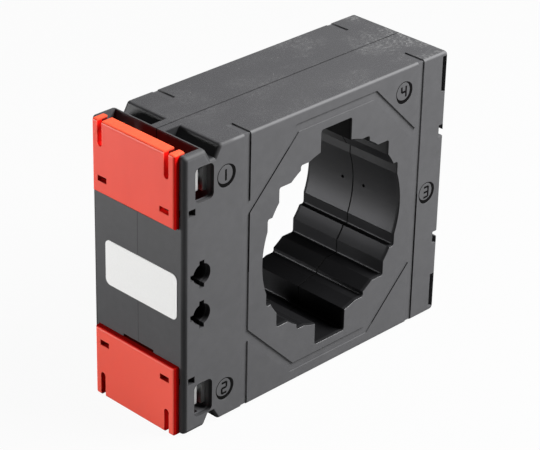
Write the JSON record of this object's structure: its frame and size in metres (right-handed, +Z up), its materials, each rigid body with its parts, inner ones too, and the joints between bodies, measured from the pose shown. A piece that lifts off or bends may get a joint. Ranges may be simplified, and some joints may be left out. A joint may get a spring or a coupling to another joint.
{
  "type": "current transformer",
  "caption": "Moulded-case current transformer with a stepped busbar window and covered screw terminals along one end.",
  "frame": {"origin": "in the plane of the case's lower narrow side, under the axis of the primary window, on the seam between the two half shells", "axes": "+X along the long side of the window face, away from the terminals; +Y along the window's axis, from the front shell to the rear shell; +Z up"},
  "size_m": [0.128, 0.045, 0.1052],
  "materials": {
    "case_plastic": "fine spark-eroded satin",
    "cover_plastic": "translucent red, smooth",
    "label_film": "white printed film",
    "core_steel": "wound strip",
    "cap_plastic": "plain",
    "winding_copper": "enamelled copper wire",
    "terminal_metal": "tinned",
    "screw_steel": "zinc plated"
  },
  "bodies": {
    "case": {"front_shell": "case_plastic", "rear_shell": "case_plastic", "rating_label": "label_film", "core": "core_steel", "core_cap_front": "cap_plastic", "core_cap_rear": "cap_plastic", "winding_left": "winding_copper", "winding_right": "winding_copper", "link_wire_top": "winding_copper", "link_wire_bottom": "winding_copper", "lead_wire_top": "winding_copper", "lead_wire_bottom": "winding_copper", "terminal_bar_top": "terminal_metal", "terminal_bar_bottom": "terminal_metal"},
    "cover_top": {"terminal_cover_top": "cover_plastic"},
    "cover_bottom": {"terminal_cover_bottom": "cover_plastic"},
    "clamp_top_front": {"clamp_plate_top_front": "terminal_metal"},
    "screw_top_front": {"terminal_screw_top_front": "screw_steel"},
    "clamp_top_rear": {"clamp_plate_top_rear": "terminal_metal"},
    "screw_top_rear": {"terminal_screw_top_rear": "screw_steel"},
    "clamp_bottom_front": {"clamp_plate_bottom_front": "terminal_metal"},
    "screw_bottom_front": {"terminal_screw_bottom_front": "screw_steel"},
    "clamp_bottom_rear": {"clamp_plate_bottom_rear": "terminal_metal"},
    "screw_bottom_rear": {"terminal_screw_bottom_rear": "screw_steel"}
  },
  "joints": [
    {"name": "cover_top_pull", "type": "slide", "parent": "case", "child": "cover_top", "axis": [-1, 0, 0], "range_m": [0, 0.015]},
    {"name": "cover_bottom_pull", "type": "slide", "parent": "case", "child": "cover_bottom", "axis": [-1, 0, 0], "range_m": [0, 0.015]},
    {"name": "clamp_top_front_travel", "type": "slide", "parent": "case", "child": "clamp_top_front", "axis": [1, 0, 0], "range_m": [-0.0016, 0.0024]},
    {"name": "screw_top_front_turn", "type": "hinge", "parent": "clamp_top_front", "child": "screw_top_front", "pos_m": [-0.06235, -0.0145, 0.0924], "axis": [1, 0, 0], "range_deg": [-720, 1080]},
    {"name": "clamp_top_rear_travel", "type": "slide", "parent": "case", "child": "clamp_top_rear", "axis": [1, 0, 0], "range_m": [-0.0016, 0.0024]},
    {"name": "screw_top_rear_turn", "type": "hinge", "parent": "clamp_top_rear", "child": "screw_top_rear", "pos_m": [-0.06235, 0.0145, 0.0924], "axis": [1, 0, 0], "range_deg": [-720, 1080]},
    {"name": "clamp_bottom_front_travel", "type": "slide", "parent": "case", "child": "clamp_bottom_front", "axis": [1, 0, 0], "range_m": [-0.0016, 0.0024]},
    {"name": "screw_bottom_front_turn", "type": "hinge", "parent": "clamp_bottom_front", "child": "screw_bottom_front", "pos_m": [-0.06235, -0.0145, 0.0116], "axis": [1, 0, 0], "range_deg": [-720, 1080]},
    {"name": "clamp_bottom_rear_travel", "type": "slide", "parent": "case", "child": "clamp_bottom_rear", "axis": [1, 0, 0], "range_m": [-0.0016, 0.0024]},
    {"name": "screw_bottom_rear_turn", "type": "hinge", "parent": "clamp_bottom_rear", "child": "screw_bottom_rear", "pos_m": [-0.06235, 0.0145, 0.0116], "axis": [1, 0, 0], "range_deg": [-720, 1080]}
  ],
  "couplings": [
    {"joint": "screw_top_front_turn", "follows": "clamp_top_front_travel", "rad_per_m": 7850},
    {"joint": "screw_top_rear_turn", "follows": "clamp_top_rear_travel", "rad_per_m": 7850},
    {"joint": "screw_bottom_front_turn", "follows": "clamp_bottom_front_travel", "rad_per_m": 7850},
    {"joint": "screw_bottom_rear_turn", "follows": "clamp_bottom_rear_travel", "rad_per_m": 7850}
  ]
}
